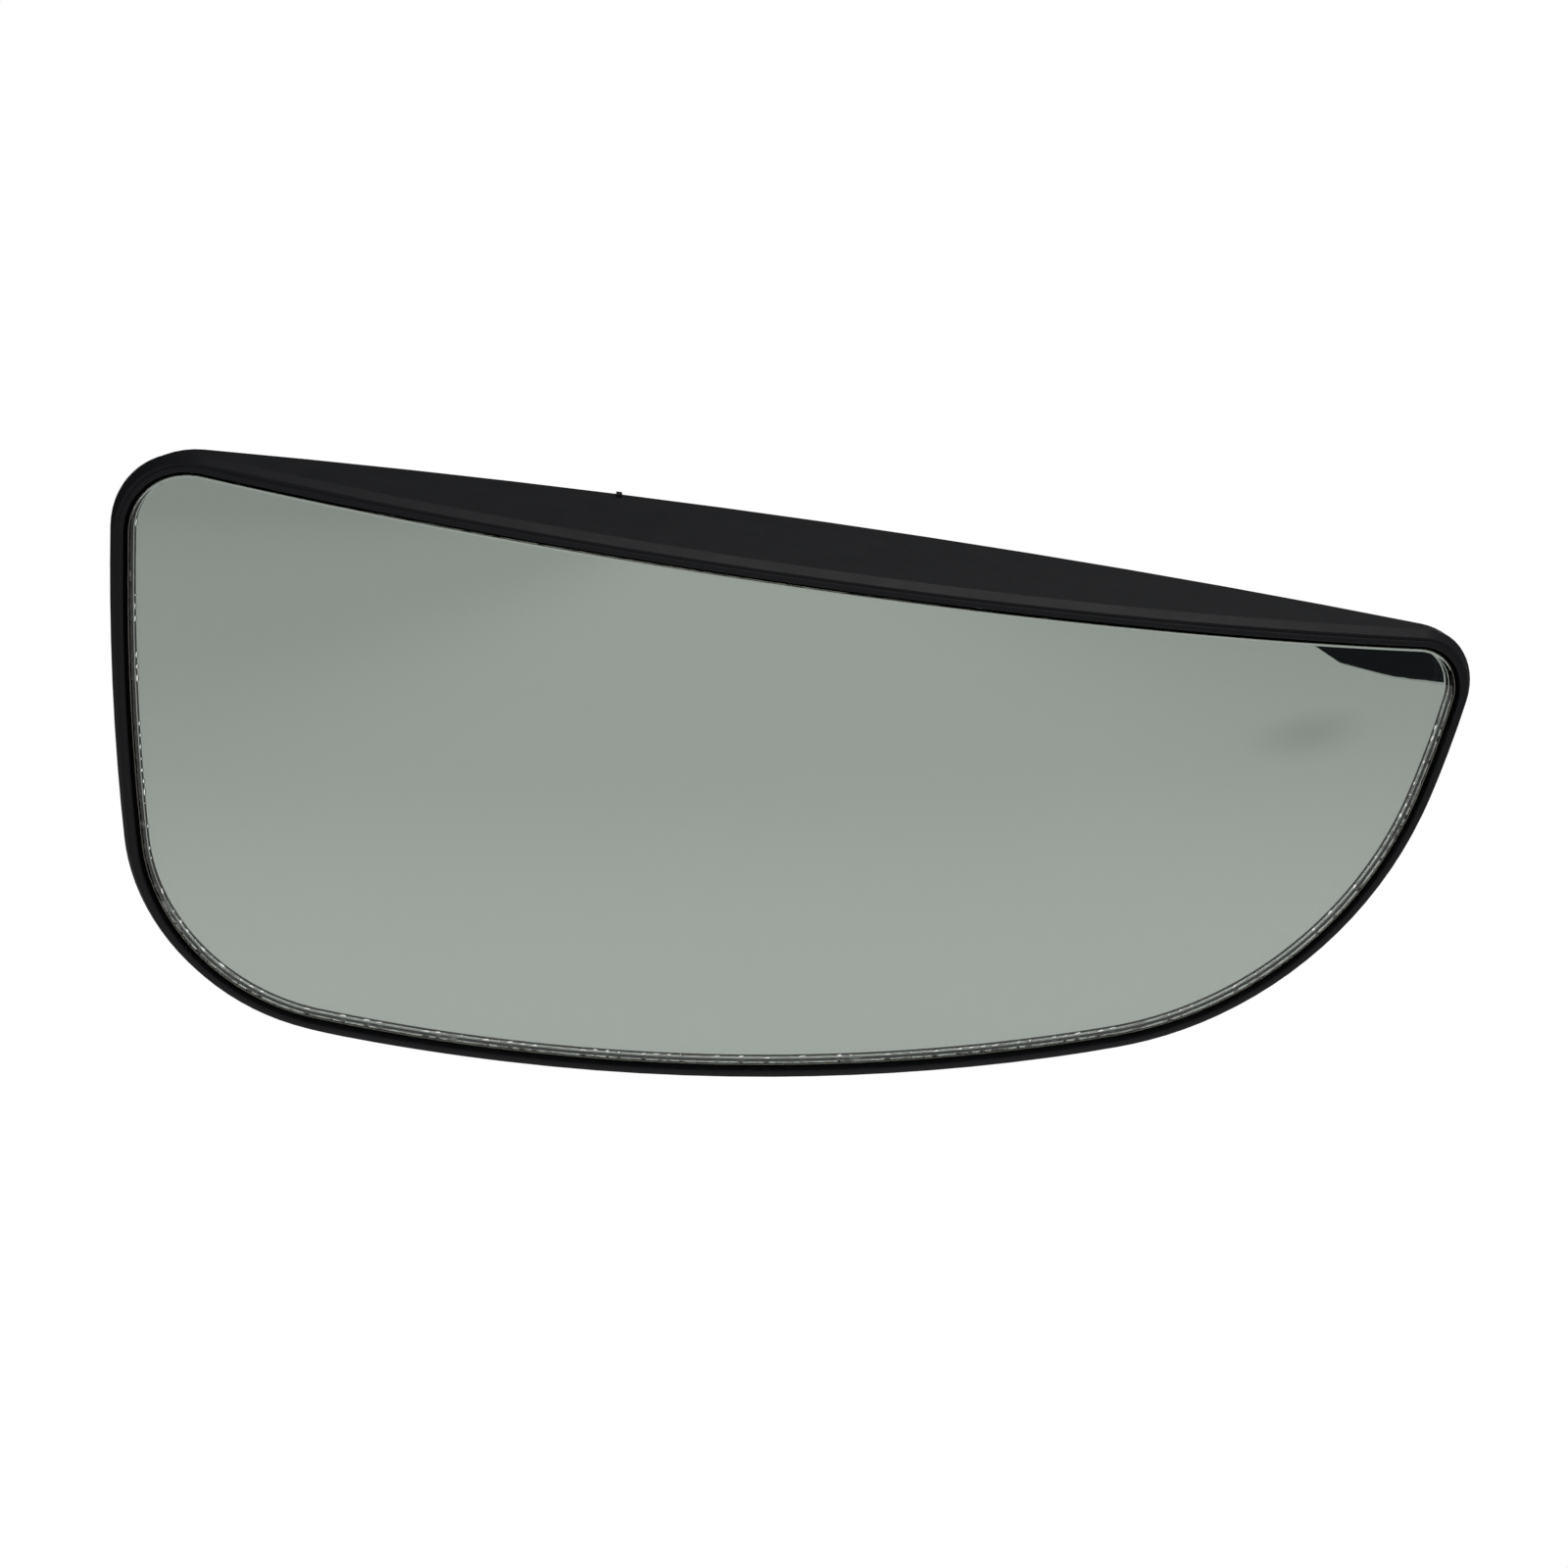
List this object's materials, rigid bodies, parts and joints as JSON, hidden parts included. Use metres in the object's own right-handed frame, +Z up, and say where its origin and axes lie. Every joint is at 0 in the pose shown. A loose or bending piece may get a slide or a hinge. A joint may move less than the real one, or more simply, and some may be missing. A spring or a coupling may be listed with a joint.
{
  "type": "convex door mirror glass with backing plate",
  "caption": "Spherically bent wing-shaped mirror glass bonded into a black moulded backing plate with a raised rim and a rear ball socket.",
  "frame": {"origin": "middle of the pivot socket's mouth, in the plane of the plate's flat back and on the axis of the glass's sphere", "axes": "+X to the right as seen facing the glass, +Y to the rear out of the socket, +Z up"},
  "size_m": [0.1899, 0.0258, 0.0903],
  "materials": {
    "mirror_glass": "second-surface mirror with ground edges",
    "foam": "double-sided foam sheet",
    "black_plastic": "moulded, finely grained"
  },
  "bodies": {
    "root": {"mirror_glass": "mirror_glass", "adhesive_pad": "foam", "backing_plate": "black_plastic"}
  },
  "joints": []
}
